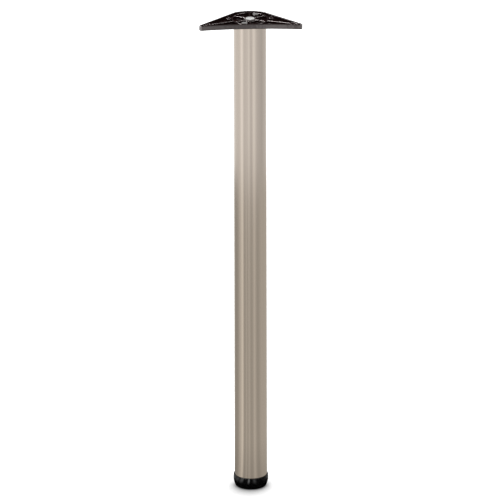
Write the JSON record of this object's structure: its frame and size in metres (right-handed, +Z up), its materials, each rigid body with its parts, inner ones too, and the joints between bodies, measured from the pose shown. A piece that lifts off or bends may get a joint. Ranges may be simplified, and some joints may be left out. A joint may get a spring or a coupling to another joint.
{
  "type": "height adjustable table leg",
  "caption": "Round satin nickel table leg with a black ribbed corner mounting plate and a screw-adjustable black foot.",
  "frame": {"origin": "on the tube's axis, at the sole of the foot, with the foot screwed right in", "axes": "+Z up along the tube, -Y towards the long edge of the corner plate, its right-angled corner at +Y"},
  "size_m": [0.189, 0.0806, 0.915],
  "materials": {
    "tube_nickel": "satin nickel plating",
    "plate_black": "glossy black enamel on die-cast zinc",
    "bright_zinc": "bright zinc plating",
    "plug_plastic": "black moulded nylon",
    "foot_black": "polished black moulding",
    "pad_rubber": "matt non-slip rubber"
  },
  "bodies": {
    "leg": {"mounting_plate": "plate_black", "plate_bolt": "bright_zinc", "lock_washer": "bright_zinc", "top_plug": "bright_zinc", "top_nut": "bright_zinc", "leg_tube": "tube_nickel", "bottom_plug": "plug_plastic", "foot_nut": "bright_zinc"},
    "pad": {"foot_pad": "pad_rubber"},
    "foot": {"foot_stud": "bright_zinc", "foot_cap": "foot_black"}
  },
  "joints": [
    {"name": "foot_height", "type": "slide", "parent": "leg", "child": "pad", "axis": [0, 0, 1], "range_m": [-0.02, 0]},
    {"name": "foot_turn", "type": "hinge", "parent": "pad", "child": "foot", "pos_m": [0, 0, 0.008], "axis": [0, 0, 1], "range_deg": [-4800, 0]}
  ],
  "couplings": [
    {"joint": "foot_turn", "follows": "foot_height", "rad_per_m": 4188.8}
  ]
}
